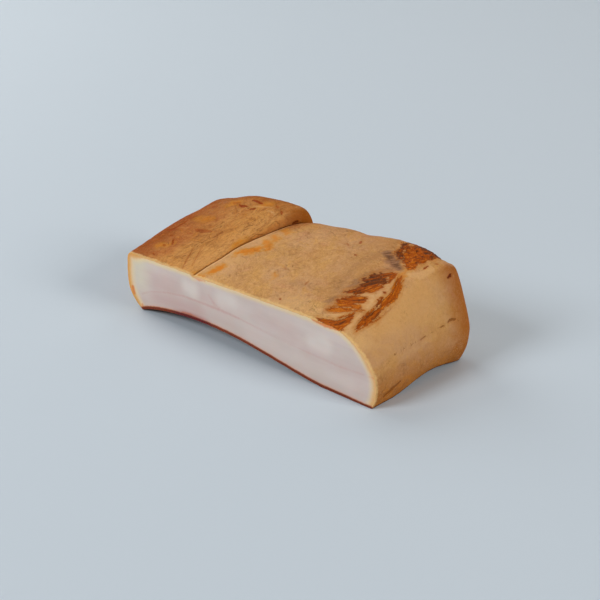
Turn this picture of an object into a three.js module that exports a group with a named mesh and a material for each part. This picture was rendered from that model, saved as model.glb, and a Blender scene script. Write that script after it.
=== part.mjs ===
// A smoked bacon slab: a thick block of pork fat on its rind, cut clean along one long side and smoked on
// the others. Millimetres, +Z up. +X runs along the length, towards the end with the lean streaks, and -Y is
// the side of the clean cut. The origin is the centre of the slab's box, at its base.
import * as THREE from "three";
import { mergeVertices } from "three/addons/utils/BufferGeometryUtils.js";

// Plan: the slab before it is centred, with the cut face on y = 0.
const LEFT_X = -108; // furthest reach of the left end, at the cut
const LEFT_BACK_DRAW = 4; // how far the left end draws in at the back
const RIGHT_X = 98.6; // furthest reach of the right end, at the cut
const RIGHT_BACK_REACH = 7.8; // how much further the right end reaches at the back
const DEPTH = 88; // from the cut to the back

// Thickness: the slab is a wedge, thin at the cut and thick at the back.
const FRONT_TOP = { left: 39, right: 44.3 };
const BACK_TOP = { left: 53, right: 66.5 };
const TOP_SPAN = { left: -100, right: 60 }; // the x values of the heights above
const CROWN_REACH = 80; // y at which the top has risen to its back height

// The underside arches off the table, more to the left.
const ARCH_HEIGHT = 9.6;
const ARCH_SPAN = { left: -95, right: 60 };
const ARCH_SKEW = 0.74; // under 1 moves the arch's peak to the left
const ARCH_FLARE = 0.4; // eases the arch into the table at its right
const END_ARCH = { height: 4.6, from: 18, to: 84, fade: 60 };

// Ends: the right one leans in above a low belly, and both draw in towards the rind.
const RIGHT_LEAN = 0.33; // mm in for each mm up
const RIGHT_LEAN_FROM = { front: 17, back: 23 };
const RIGHT_UNDERCUT = { below: 15, front: 3, back: 4.7, power: 2 }; // reach in at the table, front and back
const LEFT_UNDERCUT = { below: 28, front: 13, back: 10, power: 3.5 };
const LEFT_TOP_DRAW = 1.2; // how far the left end draws in at the top
const BACK_BULGE = 2.5;

// Rounded edges, each as [reach along the first direction, reach along the second].
const RIGHT_TOP_ROUND = { front: [26, 27], back: [10, 8] }; // x and z
const LEFT_TOP_ROUND = { front: [6, 4], back: [12, 9] };
const BACK_TOP_ROUND = [11, 12]; // y and z
const BACK_BASE_ROUND = [3, 4];
const BACK_LEFT_ROUND = [12, 10]; // x and y
const BACK_RIGHT_ROUND = [9, 8];

// The fold that crosses the top, and the swelling on its left.
const FOLD_FRONT_X = -47.5;
const FOLD_BACK_X = -21.5;
const FOLD_BEND = 2.2; // how far the fold bows to the left, halfway along
const FOLD_DEPTH = { front: 0.7, back: 1.4 };
const FOLD_HALF_WIDTH = 1.3;
const FOLD_DIP = { depth: 3.4, left: 4, right: 11 }; // the top dips at the fold's back end, this far out
const SWELL_HEIGHT = { front: 0.6, back: 11 };
const SWELL_FROM_Y = 20;
const SWELL_SHOULDER = { front: 3, back: 5 }; // width of the steep part of its side, next to the fold
const SWELL_SHOULDER_SHARE = { front: 0.35, back: 0.92 }; // how much of its height the steep part gains
const SWELL_SLOPE = 30; // width of the whole side
const SWELL_LEFT_FADE = 58;
const SWELL_LEAN = { over: 2.8, at: 2.5, width: 4 }; // how far the swelling leans over the fold at the back

// Lean meat near the right end has dried a little lower than the fat, and ends in a knob at the back.
// The back also swells a little between the fold and a step.
const LEAN_STRIP = { front: [60, 6], back: [72, 70], halfWidth: 9, depth: 0.9 };
const LEAN_KNOB = { at: [71, 80], reach: [11, 15], height: 1 };
const KNOB_NOTCH = { at: [85, 83], reach: [5.5, 15], height: -3.2 };
const BACK_SWELL = { at: [13, 80], reach: [15, 22], height: 1.6 };
const BACK_STEP = { x: 32, halfWidth: 4.5, height: 2.2, from: 50 }; // the top steps up at x, near the back

// Gentle unevenness of the smoked top: bent waves that cross it at these angles, in degrees.
const WAVES = [
  { length: 67, angle: 25, height: 0.5 },
  { length: 41, angle: 110, height: 0.4 },
  { length: 26, angle: 155, height: 0.25 },
];

// Mesh: cells along x on each side of the fold, along y and along z.
const CELLS = { left: 23, right: 37, deep: 28, tall: 12 };
const FOLD_SHARE = CELLS.left / (CELLS.left + CELLS.right); // where the fold lies, as a share of the cells
const CROWDING = 0.42; // how much closer the cells lie near the fold and the ends

const clamp01 = (t) => Math.min(1, Math.max(0, t));
const mix = (a, b, t) => a + (b - a) * t;
const ease = (t) => clamp01(t) ** 2 * (3 - 2 * clamp01(t));
const bump = (t) => Math.exp(-t * t);

// Share of the way from the cut to the back.
const towardsBack = (y) => clamp01(y / DEPTH);

function foldX(y) {
  const t = towardsBack(y);
  return mix(FOLD_FRONT_X, FOLD_BACK_X, t) - FOLD_BEND * Math.sin(Math.PI * t);
}

function underside(x, y) {
  const along = clamp01((x - ARCH_SPAN.left) / (ARCH_SPAN.right - ARCH_SPAN.left));
  const arch = ARCH_HEIGHT * Math.max(0, Math.sin(Math.PI * along ** ARCH_SKEW)) ** (1 + ARCH_FLARE * along);
  const across = clamp01((y - END_ARCH.from) / (END_ARCH.to - END_ARCH.from));
  const nearEnd = ease((x - RIGHT_X) / END_ARCH.fade + 1);
  return arch + END_ARCH.height * Math.sin(Math.PI * across) ** 1.5 * nearEnd;
}

function unevenness(x, y) {
  const waveAt = ({ length, angle, height }, i) => {
    const turn = (angle * Math.PI) / 180;
    const along = x * Math.cos(turn) + y * Math.sin(turn);
    const across = y * Math.cos(turn) - x * Math.sin(turn);
    const bend = 1.4 * Math.sin((4 * across) / length + i);
    return height * Math.sin((2 * Math.PI * along) / length + 1.7 * i + bend);
  };
  return WAVES.map(waveAt).reduce((sum, height) => sum + height) * ease(y / 25);
}

// How far the swelling has risen, from 0 near the cut to 1 at the back.
const swellRise = (y) => ease((y - SWELL_FROM_Y) / (DEPTH - SWELL_FROM_Y));

// The raised part left of the fold: a steep shoulder at the fold, then a slope, fading towards the left end.
function swelling(x, y) {
  const fromFold = foldX(y) - x;
  if (fromFold <= 0) return 0;
  const rise = swellRise(y);
  const steep = clamp01(fromFold / mix(SWELL_SHOULDER.front, SWELL_SHOULDER.back, rise));
  const shoulder = Math.sqrt(1 - (1 - steep) ** 2);
  const slope = 1 - (1 - clamp01(fromFold / SWELL_SLOPE)) ** 2;
  const share = mix(SWELL_SHOULDER_SHARE.front, SWELL_SHOULDER_SHARE.back, rise ** 2);
  const side = mix(slope, shoulder, share);
  const fade = ease((x - LEFT_X) / SWELL_LEFT_FADE);
  return mix(SWELL_HEIGHT.front, SWELL_HEIGHT.back, rise) * side * fade;
}

// How far the swelling's side leans to the right, over the fold.
function swellLean(x, y) {
  const fromFold = foldX(y) - x;
  if (fromFold <= 0) return 0;
  const nearFold = bump((fromFold - SWELL_LEAN.at) / SWELL_LEAN.width) * ease(fromFold);
  return SWELL_LEAN.over * swellRise(y) * nearFold;
}

function foldGroove(x, y) {
  const t = towardsBack(y);
  const away = Math.abs(x - foldX(y));
  const groove = mix(FOLD_DEPTH.front, FOLD_DEPTH.back, t) * Math.exp(-away / FOLD_HALF_WIDTH);
  const reach = x < foldX(y) ? FOLD_DIP.left : FOLD_DIP.right;
  return groove + FOLD_DIP.depth * t ** 3 * bump(away / reach);
}

// The height at a point of a round-topped mound, or of a hollow where the height is under 0.
const mound = ({ at, reach, height }, x, y) =>
  height * bump((x - at[0]) / reach[0]) * bump((y - at[1]) / reach[1]);

function leanRelief(x, y) {
  const { front, back, halfWidth, depth } = LEAN_STRIP;
  const t = clamp01((y - front[1]) / (back[1] - front[1]));
  const hollow = depth * bump((x - mix(front[0], back[0], t)) / halfWidth);
  return mound(LEAN_KNOB, x, y) + mound(KNOB_NOTCH, x, y) - hollow;
}

function backRelief(x, y) {
  const across = ease((x - BACK_STEP.x) / (2 * BACK_STEP.halfWidth) + 0.5);
  const step = BACK_STEP.height * across * ease((y - BACK_STEP.from) / (DEPTH - BACK_STEP.from));
  return step + mound(BACK_SWELL, x, y);
}

function topHeight(x, y) {
  const along = (x - TOP_SPAN.left) / (TOP_SPAN.right - TOP_SPAN.left);
  const front = mix(FRONT_TOP.left, FRONT_TOP.right, clamp01(along));
  const back = mix(BACK_TOP.left, BACK_TOP.right, clamp01(along));
  const crown = Math.sin((Math.PI / 2) * Math.min(1, y / CROWN_REACH));
  const relief = swelling(x, y) + backRelief(x, y) + leanRelief(x, y) - foldGroove(x, y);
  return mix(front, back, crown) + relief + unevenness(x, y);
}

// How far an end draws in at height z, between its belly and the table.
function undercut({ below, front, back, power }, y, z) {
  return mix(front, back, towardsBack(y)) * Math.max(0, 1 - z / below) ** power;
}

function rightEnd(y, z) {
  const t = towardsBack(y);
  const leaning = Math.max(0, z - mix(RIGHT_LEAN_FROM.front, RIGHT_LEAN_FROM.back, t));
  return RIGHT_X + RIGHT_BACK_REACH * t - RIGHT_LEAN * leaning - undercut(RIGHT_UNDERCUT, y, z);
}

function leftEnd(y, c) {
  const t = towardsBack(y);
  const z = c * mix(FRONT_TOP.left, BACK_TOP.left, t);
  return LEFT_X + LEFT_BACK_DRAW * t + LEFT_TOP_DRAW * c ** 3 + undercut(LEFT_UNDERCUT, y, z);
}

// Bends a square corner of reach rp by rq into a rounded one. p and q run from 0 to 1, the corner's place.
function roundCorner(p, q, rp, rq) {
  const s = (p - 1 + rp) / rp;
  const t = (q - 1 + rq) / rq;
  if (s <= 0 || t <= 0) return [p, q];
  const pull = Math.max(s, t) / Math.hypot(s, t);
  return [1 - rp + rp * s * pull, 1 - rq + rq * t * pull];
}

// Spreads 0 to 1 so that steps are shorter at both ends.
const crowd = (t) => t - (CROWDING * Math.sin(2 * Math.PI * t)) / (2 * Math.PI);

// Rounds the slab's edges. a, b and c run from 0 to 1 along the length, from the cut to the back, and up.
function roundEdges(a, b, c) {
  const length = RIGHT_X - LEFT_X;
  const tall = mix(FRONT_TOP.right, BACK_TOP.right, b);
  const alongShare = (round) => mix(round.front[0], round.back[0], b) / length;
  const upShare = (round) => mix(round.front[1], round.back[1], b) / tall;

  [a, c] = roundCorner(a, c, alongShare(RIGHT_TOP_ROUND), upShare(RIGHT_TOP_ROUND));
  [a, c] = roundCorner(1 - a, c, alongShare(LEFT_TOP_ROUND), upShare(LEFT_TOP_ROUND));
  a = 1 - a;
  [b, c] = roundCorner(b, c, BACK_TOP_ROUND[0] / DEPTH, BACK_TOP_ROUND[1] / tall);
  [b, c] = roundCorner(b, 1 - c, BACK_BASE_ROUND[0] / DEPTH, BACK_BASE_ROUND[1] / tall);
  c = 1 - c;
  [a, b] = roundCorner(a, b, BACK_RIGHT_ROUND[0] / length, BACK_RIGHT_ROUND[1] / DEPTH);
  [a, b] = roundCorner(1 - a, b, BACK_LEFT_ROUND[0] / length, BACK_LEFT_ROUND[1] / DEPTH);
  return [1 - a, b, c];
}

// The place of a point of the slab, given as shares along the length, from the cut to the back, and up.
function slabPoint(a, b, c) {
  const tall = mix(FRONT_TOP.right, BACK_TOP.right, b);
  [a, b, c] = roundEdges(a, b, c);
  const y = b * (DEPTH + BACK_BULGE * (Math.sin(Math.PI * c) - 1));
  const fold = foldX(y);
  const x =
    a < FOLD_SHARE
      ? mix(leftEnd(y, c), fold, a / FOLD_SHARE)
      : mix(fold, rightEnd(y, c * tall), (a - FOLD_SHARE) / (1 - FOLD_SHARE));
  const z = mix(underside(x, y), topHeight(x, y), c);
  return [x + swellLean(x, y) * c ** 3, y, z];
}

function slabGeometry() {
  const box = new THREE.BoxGeometry(1, 1, 1, CELLS.left + CELLS.right, CELLS.deep, CELLS.tall);
  box.deleteAttribute("normal");
  box.deleteAttribute("uv");
  const geometry = mergeVertices(box.translate(0.5, 0.5, 0.5), 1e-5);
  const places = geometry.getAttribute("position");
  for (let i = 0; i < places.count; i++) {
    const a = places.getX(i);
    const crowded =
      a < FOLD_SHARE
        ? FOLD_SHARE * crowd(a / FOLD_SHARE)
        : mix(FOLD_SHARE, 1, crowd((a - FOLD_SHARE) / (1 - FOLD_SHARE)));
    places.setXYZ(i, ...slabPoint(crowded, places.getY(i), places.getZ(i)));
  }
  geometry.computeBoundingBox();
  const middle = geometry.boundingBox.getCenter(new THREE.Vector3());
  geometry.translate(-middle.x, -middle.y, -geometry.boundingBox.min.z);
  geometry.computeVertexNormals();
  return geometry;
}

const smokedFat = new THREE.MeshStandardMaterial({ color: 0xc8955c, roughness: 0.5, metalness: 0 });
const slab = new THREE.Mesh(slabGeometry(), smokedFat);
slab.name = "bacon_slab";

const group = new THREE.Group();
group.add(slab);
export default group;
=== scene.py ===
"""A slab of smoked bacon: golden smoked skin with lean streaks, a clean pink-white cut, and a dark rind below."""
import math

import bmesh
import bpy
import numpy as np
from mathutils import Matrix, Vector, kdtree, noise
from mathutils.bvhtree import BVHTree


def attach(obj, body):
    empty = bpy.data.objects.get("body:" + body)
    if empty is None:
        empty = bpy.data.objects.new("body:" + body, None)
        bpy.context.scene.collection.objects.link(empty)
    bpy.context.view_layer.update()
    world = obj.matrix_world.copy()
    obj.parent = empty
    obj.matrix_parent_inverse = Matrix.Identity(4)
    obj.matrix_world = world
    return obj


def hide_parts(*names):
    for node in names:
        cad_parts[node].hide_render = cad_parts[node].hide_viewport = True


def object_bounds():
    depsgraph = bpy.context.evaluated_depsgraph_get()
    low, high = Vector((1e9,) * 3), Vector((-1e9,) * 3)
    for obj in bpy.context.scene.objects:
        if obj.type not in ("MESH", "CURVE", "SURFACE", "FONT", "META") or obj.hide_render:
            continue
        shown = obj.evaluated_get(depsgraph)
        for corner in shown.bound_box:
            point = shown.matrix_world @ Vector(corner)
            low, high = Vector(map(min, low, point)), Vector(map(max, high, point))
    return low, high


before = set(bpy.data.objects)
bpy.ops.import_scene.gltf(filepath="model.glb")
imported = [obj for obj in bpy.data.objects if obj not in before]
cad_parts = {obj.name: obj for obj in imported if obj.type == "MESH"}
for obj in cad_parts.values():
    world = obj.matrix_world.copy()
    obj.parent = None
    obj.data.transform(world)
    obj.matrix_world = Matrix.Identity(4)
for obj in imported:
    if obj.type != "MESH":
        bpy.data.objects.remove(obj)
cad_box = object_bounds()

MM = 0.001
SKIN, CUT, RIND = 0, 1, 2

# Working the solid, in metres and radians: corners nearer than SAME_PLACE are one, CLOSE is how far off the cut's plane
# its corners may lie and the room kept inside the solid's box, and the rind goes on over bends below RIND_BEND.
SAME_PLACE = 1e-6
CLOSE = 1e-5
ANY_ANGLE = 3.2
RIND_BEND = math.radians(16)
SMOOTHING_LEVELS = 2
# The fold across the top: how far along it lies, how far to each side and above what height, and how sharp it is.
FOLD_ALONG, FOLD_REACH, FOLD_ABOVE, FOLD_BEND = -0.034, 0.02, 0.03, -0.25

# Relief carved into the skin, in mm: depths go in, heights stand out.
SWELLS = ((0.40, 0.045, 1), (0.20, 0.11, 2), (0.08, 0.33, 3))
WRINKLE_DEPTH, FINE_WRINKLE_DEPTH, FLAKE_DEPTH = 0.26, 0.12, 0.10
LEAN_DEPTH, CRUMB_HEIGHT, FIBRE_HEIGHT, LEAN_RIM_HEIGHT = 0.35, 0.40, 0.25, 0.12
MARK_DEPTH, PALE_HEIGHT = 0.35, 0.12
GROOVE_DEPTH, GROOVE_DEEPER_BEHIND, LIP_HEIGHT, BULGE_HEIGHT = 0.35, 0.6, 0.30, 0.25
# The seam of small cracks on the rounded end: mm from the middle towards the back, and mm up.
SEAM_LINE = ([-40, -34, -22, -5, 6, 14, 20, 24, 28, 44], [22, 25, 30, 31, 32.3, 32.6, 33.6, 34, 32, 29])
# Where the upper rim of the cut is frayed: mm along, and how much.
FRAYED_RIM = ([-50, -42, -33, 45, 60, 75], [0, 1, 0, 0, 1, 0])

FLOOR_HALF_WIDTH = 6
ROOM_LIGHT = 0.12
SENSOR_MM = 36

# The camera, from the photograph's own lines: where it looks, from which side, how high, how far, and its lens.
LOOK_AT = Vector((-0.02539, 0.03416, 0.0))
CAMERA_AZIMUTH = math.radians(40.76)
CAMERA_ELEVATION = math.radians(27.0)
CAMERA_DISTANCE = 0.931
LENS_MM = 84

# Streaks of lean in the smoked top, in mm seen from above. Each group has the line its fibres follow, then strokes:
# points along the stroke with its half width there, and its tone, from dark purple-brown (0) to orange-brown (1).
LEAN_STREAKS = [
    ([(56, 4), (72, 22), (86, 44)], [
        ([(69, 28, 3.2), (70, 24, 4.0), (73.5, 21, 5.5), (76.5, 17.5, 4.2), (77.5, 15, 2.6)], 0.62),
        ([(74, 26.5, 4.6), (78, 24, 4.2)], 0.58),
        ([(65.5, 29, 1.6), (67.5, 25, 2.0)], 0.40),
        ([(70, 31, 3.0), (76, 31, 4.0), (81, 30, 3.0)], 0.36),
        ([(56, 37.5, 1.6), (63, 36.5, 3.2), (72, 37, 5.0), (81, 36.5, 4.4)], 0.05),
        ([(54, 42, 1.2), (66, 42, 2.2), (84, 41, 2.5)], 0.15),
        ([(61.5, 31, 2.4), (63, 26, 1.6), (64, 21.5, 2.2), (67, 20, 2.6)], 0.14)]),
    ([(52, -24), (64, -9), (80, 8)], [
        ([(63.5, -1.5, 1.5), (65.5, -4, 4.0), (70, -4, 4.0), (74, -5, 2.0)], 0.10),
        ([(61, -7.5, 1.4), (64, -8, 2.6), (68, -8, 3.0)], 0.05),
        ([(62.5, -11, 1.6), (65, -12, 2.5)], 0.05),
        ([(62, -15.5, 2.0), (66, -13, 3.2), (70, -11.8, 3.6), (74.5, -8.6, 1.6)], 0.60),
        ([(56, -19.6, 0.6), (59.5, -17.8, 1.8), (63, -16.6, 2.5), (66, -15.5, 2.0)], 0.15),
        ([(70.5, 3, 2.3), (73, 3.4, 2.5), (75, 0.5, 1.7), (76, -4, 1.1)], 0.50),
        ([(66, 1.5, 1.2), (70, 1, 2.0)], 0.20)]),
    ([(50, -31), (78, -19)], [
        ([(58, -25, 1.4), (64, -23, 3.0), (68, -21.9, 3.2), (71, -21.6, 2.1)], 0.60),
        ([(57, -27, 1.6), (61, -27.5, 2.6), (66, -26.6, 2.6), (70, -26.6, 1.4), (75, -26.6, 0.5)], 0.66),
        ([(55.5, -34.6, 0.9), (58.5, -33.2, 2.1), (63, -31.5, 2.1), (68, -29.8, 1.2), (72, -28.4, 0.6)], 0.85)]),
    ([(50, -46), (67, -40), (76, -27)], [
        ([(71.7, -31.5, 1.2), (71.2, -34.5, 2.4), (69.6, -38, 3.6), (68.6, -42, 4.2)], 0.52),
        ([(53.5, -42.8, 0.7), (58, -42.8, 1.5), (63, -42, 2.5), (67, -41, 3.0)], 0.55)]),
    ([(77, -44), (81.5, -26), (84, -9), (77, 9)], [
        ([(78, 5, 0.7), (80, 0.5, 1.6), (82.3, -3.5, 2.2), (83.6, -8, 2.2), (83, -12, 2.0), (82.2, -16, 1.9),
          (82.2, -18.6, 1.6)], 0.66),
        ([(79.9, -15, 0.5), (79.6, -17.5, 1.0), (80.2, -20, 0.9)], 0.10),
        ([(82.2, -20.6, 1.7), (81.6, -24.5, 2.5), (80, -29, 2.6), (79, -33, 2.0), (78.7, -37.3, 0.8)], 0.50)]),
]

# Grey-purple smudges where thin fat lies over lean: strokes, and how strong each is.
SMUDGES = [
    ([(57, 18, 2.0), (63, 16, 4.4), (67, 14.5, 4.2), (69, 12, 3.2), (73, 10.5, 2.6)], 1.0),
    ([(67, 6, 1.6), (70, 6, 1.6)], 0.8),
    ([(57, -14, 1.4), (60, -6, 2.2), (64, 1, 2.0), (68, 5.5, 1.6)], 0.6),
    ([(56, -10.8, 1.0), (59, -11, 2.2), (60, -8.5, 1.6)], 0.8),
    ([(57, -15, 1.6), (60, -14, 2.4)], 0.8),
    ([(55, -20.2, 0.9), (58, -19.5, 1.0)], 0.6),
    ([(52, -30, 1.6), (53.5, -26.5, 1.8), (56, -24.5, 1.2)], 0.7),
    ([(57, -23.5, 1.4), (61, -21.6, 1.0)], 0.6),
    ([(20, -26, 1.5), (25, -25, 2.5), (30, -24, 1.0)], 0.3),
    ([(50, -22, 3.0), (49, -4, 3.0), (52, 12, 4.0)], 0.16),
]

# Pale fat between the streaks, and pale flecks.
PALE_STROKES = [
    ([(62, -20.6, 0.4), (66, -18.6, 0.7), (71, -17.2, 1.0), (76, -18, 3.0), (75, -24, 2.6)], 0.9),
    ([(78, -2, 1.6), (78, -10, 1.6), (76, -17, 2.4)], 0.55),
    ([(57, -38.4, 0.5), (61, -37, 1.3), (65, -34.5, 0.6)], 0.7),
    ([(76, -29, 1.0), (75, -35, 1.0), (75, -43, 1.4)], 0.8),
    ([(68, 4.6, 0.4), (70.5, 5.8, 0.4)], 0.8),
    ([(59, 27.5, 0.8), (63, 27, 1.2), (66, 25.5, 0.8)], 0.5),
    ([(84, 23, 1.2), (88, 22, 1.8), (86, 13, 2.0), (81, 9, 1.4)], 0.75),
    ([(0.6, -21.6, 0.7), (1.8, -22.6, 0.5)], 1.0),
    ([(-41, 20.6, 0.3), (-37, 20.8, 0.6), (-34.5, 20.4, 0.3)], 0.9),
    ([(-54, 21, 0.4), (-46, 22.6, 0.7), (-41, 24, 0.4)], 0.5),
]

# Orange and golden stains, with how orange each is.
STAINS = [
    ([(-36.5, -37.5, 2.6), (-34.2, -32, 3.4)], 0.95),
    ([(-33, -17, 2.2), (-28, -13, 4.6), (-23, -9, 4.0)], 0.9),
    ([(-25, 1, 2.0), (-20, -3, 3.6), (-16, -7, 2.4)], 0.70),
    ([(-26, 9, 2.0), (-19, 4, 3.0)], 0.5),
    ([(-24, 18, 2.4), (-17, 12, 2.6)], 0.45),
    ([(-41, -11, 1.0), (-38.5, -4, 1.8)], 0.9),
    ([(-49, 22, 1.6), (-45, 26.5, 3.0)], 0.5),
    ([(-86, 3, 3.6), (-76, 3, 3.0)], 0.3),
    ([(-90, -30, 3.0), (-84, -26, 2.4)], 0.5),
    ([(-74, 22, 2.0), (-69, 23, 2.4)], 0.5),
    ([(-47, -43, 2.0), (-38, -43, 2.2)], 0.6),
    ([(77, 11, 2.0), (77.5, 6, 2.6), (79, 2, 1.8)], 0.35),
    ([(3.5, -23.4, 1.2), (6, -25.5, 1.4)], 0.5),
]

# Dark brown marks: short gouges and burnt specks.
MARKS = [
    ([(-66, 20.2, 0.4), (-62, 19.4, 1.2), (-58.5, 19.8, 0.4)], 0.85),
    ([(-54.5, 17.8, 0.5), (-51, 19, 0.9)], 0.8),
    ([(-60, 27, 0.5), (-55, 26.4, 1.0), (-50, 25.3, 0.7)], 0.8),
    ([(-72, 22, 1.0), (-68, 22, 1.4)], 0.35),
    ([(-89, 19, 1.2), (-84, 17.5, 1.2)], 0.4),
    ([(-78, -8.5, 0.8), (-71, -8, 1.8), (-65, -7.5, 0.6)], 0.45),
    ([(-33, 24.6, 0.8), (-31.5, 23.6, 0.6)], 0.6),
    ([(-39, 27, 0.6), (-37, 26, 0.6)], 0.4),
    ([(-86, -21, 0.4), (-82.5, -26, 0.5)], 0.7),
    ([(-99, -15, 0.5), (-95, -13.6, 0.9), (-93.5, -8, 0.5), (-93, -2, 0.4)], 0.55),
    ([(-88, -28, 0.9), (-86, -29, 0.6)], 0.5),
    ([(-92, -18, 0.6), (-90, -18, 0.5)], 0.5),
    ([(-88, -38, 0.4), (-85, -39.5, 0.5)], 0.5),
    ([(-64, -25, 0.1), (-61, -34, 0.3), (-57, -42, 0.2)], 0.4),
    ([(-60, -20, 0.1), (-57, -28, 0.3), (-53, -38, 0.2)], 0.35),
    ([(40, 9, 0.5), (41.5, 8.8, 0.4)], 0.6),
    ([(32, 25, 0.5), (34, 22, 0.7)], 0.6),
    ([(26, 19, 0.4), (29, 17, 0.5)], 0.4),
    ([(28.5, -21, 0.5), (28.8, -24, 0.5)], 0.35),
    ([(22, -39.5, 0.5), (23, -39.5, 0.4)], 0.7),
    ([(5, -16, 0.3), (8, -17, 0.4)], 0.35),
    ([(78, -11.2, 0.5), (79.2, -11.3, 0.5)], 0.8),
    ([(70.5, -19.3, 0.4), (72.5, -19.6, 0.5)], 0.8),
    ([(82.3, 26.8, 0.5), (83.6, 28.6, 0.4)], 0.6),
    ([(84.6, 19, 0.4), (84.8, 22.4, 0.4)], 0.7),
    ([(80.8, 22.5, 0.4), (82, 24, 0.4)], 0.6),
    ([(86.8, 27.6, 0.3), (88.2, 28.4, 0.3)], 0.5),
    ([(86.4, -15, 0.2), (84.6, -24, 0.25), (82.6, -32, 0.2)], 0.35),
]

# Marks on the rounded end, as (mm from the middle towards the back, mm up, half width): a seam of small cracks.
END_MARKS = [
    ([(20, 33.2, 0.3), (23.5, 34, 0.7), (27, 32.6, 0.4)], 0.6),
    ([(12.5, 32.4, 0.1), (16, 32.8, 0.35)], 0.5),
    ([(-5, 31, 0.1), (-1, 31.6, 0.3)], 0.5),
    ([(-36, 6.0, 0.8), (-31, 8.0, 1.3), (-23, 11.0, 0.5)], 0.55),
    ([(28.0, 57.4, 0.5), (31.2, 58.2, 0.8)], 1.0),
]

# The cut face, in mm along and up: milky white patches, pink patches, thin pink layers, a yellowish one, rusty edges.
MILK_PATCHES = [
    ([(-52, 31, 3), (-47, 30, 4)], 0.9),
    ([(-22, 31, 4), (-14, 33, 3)], 0.7),
    ([(52, 28, 4), (60, 29, 5)], 0.8),
    ([(-92, 35, 1), (-80, 36, 1)], 0.4),
    ([(0, 15, 2), (80, 10, 3)], 0.3),
]
BLUSH_PATCHES = [
    ([(-80, 24, 4), (-64, 25, 5)], 0.6),
    ([(-80, 14, 1), (-66, 15, 3), (-44, 16, 3)], 0.8),
    ([(-38, 27, 2), (-20, 26, 2)], 0.5),
    ([(10, 30, 3), (34, 28, 4)], 0.4),
    ([(48, 20, 2), (88, 20, 3)], 0.45),
]
STRATA = [
    ([(-94, 12, 0.2), (-85, 16.5, 0.2), (-70, 20.5, 0.3), (-55, 23, 0.4), (-25, 23.8, 0.8), (-7, 23.5, 0.5)], 0.7),
    ([(-7, 23.5, 0.4), (20, 21, 0.1), (36, 20.2, 0.2), (56, 19.6, 0.4), (72, 19.2, 0.6), (90, 20.4, 0.3)], 0.55),
    ([(-33, 31, 0.5), (-28, 26, 1.0), (-24, 25, 0.8)], 0.5),
    ([(-80, 11, 0.2), (-60, 13.5, 0.3), (-48, 13, 0.2)], 0.35),
    ([(20, 15, 0.2), (50, 13, 0.3), (80, 12, 0.2)], 0.25),
]
YELLOW_PATCHES = [
    ([(-95, 33, 3), (-95, 22, 2)], 0.9),
]
RUST_PATCHES = [
    ([(-102.5, 14, 1.2), (-101.5, 10, 1.0)], 0.9),
    ([(-94, 4, 0.8), (-94, 2, 0.6)], 0.7),
    ([(-48, 40, 0.3), (-41, 39, 1.0), (-36, 39.8, 0.5)], 0.6),
    ([(51, 42.8, 0.3), (61, 42.4, 1.1), (71, 42.8, 0.4)], 0.9),
    ([(-57, 10.8, 0.4), (-50, 11.3, 1.0), (-43, 11.2, 0.4)], 0.9),
    ([(94, 20.6, 0.1), (98, 20.9, 0.3)], 0.7),
]


def steps(value, low, high):
    """0 at low, 1 at high and a smooth rise between, on numbers or arrays."""
    t = np.clip((np.asarray(value, float) - low) / (high - low), 0, 1)
    return t * t * (3 - 2 * t)


def inside(across, along, stroke):
    """How far, in mm, each place lies inside a stroke of varying half width; negative outside."""
    best = np.full(len(across), -1e3)
    for (x0, y0, w0), (x1, y1, w1) in zip(stroke, stroke[1:]):
        dx, dy = x1 - x0, y1 - y0
        t = np.clip(((across - x0) * dx + (along - y0) * dy) / (dx * dx + dy * dy), 0, 1)
        best = np.maximum(best, w0 + (w1 - w0) * t - np.hypot(across - x0 - dx * t, along - y0 - dy * t))
    return best


def painted(across, along, strokes, fade):
    """The strongest of several soft strokes at each place, from 0 to 1."""
    shade = np.zeros(len(across))
    for stroke, strength in strokes:
        shade = np.maximum(shade, strength * steps(inside(across, along, stroke), -fade, fade * 0.5))
    return shade


def outlined(across, along, strokes, where):
    """How far each place lies inside the nearest stroke, in mm, and that stroke's strength; far outside elsewhere."""
    depth, strength = np.full(len(across), -9.0), np.zeros(len(across))
    for stroke, shade in strokes:
        gap = inside(across, along, stroke)
        strength = np.where(gap > depth, shade, strength)
        depth = np.maximum(depth, gap)
    return np.where(where, depth, -9.0), strength


def sided(across, along, strokes, where):
    """For thin strokes: the signed distance beside the nearest one, how far it reaches sideways there, its strength."""
    depth, side, reach, strength = (np.full(len(across), v) for v in (-2.2, 0.0, -6.0, 0.0))
    for stroke, shade in strokes:
        for (x0, y0, w0), (x1, y1, w1) in zip(stroke, stroke[1:]):
            length = math.hypot(x1 - x0, y1 - y0)
            ux, uy = (x1 - x0) / length, (y1 - y0) / length
            run = (across - x0) * ux + (along - y0) * uy
            beside = (along - y0) * ux - (across - x0) * uy
            width = w0 + (w1 - w0) * np.clip(run / length, 0, 1) - np.maximum(0, np.abs(run - length / 2) - length / 2)
            nearer = where & (width - np.abs(beside) > depth)
            depth = np.where(nearer, width - np.abs(beside), depth)
            side = np.where(nearer, beside, side)
            reach = np.where(nearer, width, reach)
            strength = np.where(nearer, shade, strength)
    return depth, side, reach, strength


def follow(across, along, line):
    """How far along a bent line each place lies, and how far to its left, in mm."""
    nearest, run, side = np.full(len(across), 1e9), np.zeros(len(across)), np.zeros(len(across))
    start = 0.0
    for (x0, y0), (x1, y1) in zip(line, line[1:]):
        length = math.hypot(x1 - x0, y1 - y0)
        ux, uy = (x1 - x0) / length, (y1 - y0) / length
        t = np.clip((across - x0) * ux + (along - y0) * uy, 0, length)
        gap = np.hypot(across - x0 - ux * t, along - y0 - uy * t)
        closer = gap < nearest
        nearest = np.where(closer, gap, nearest)
        run = np.where(closer, start + t, run)
        side = np.where(closer, (along - y0) * ux - (across - x0) * uy, side)
        start += length
    return run, side


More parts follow.
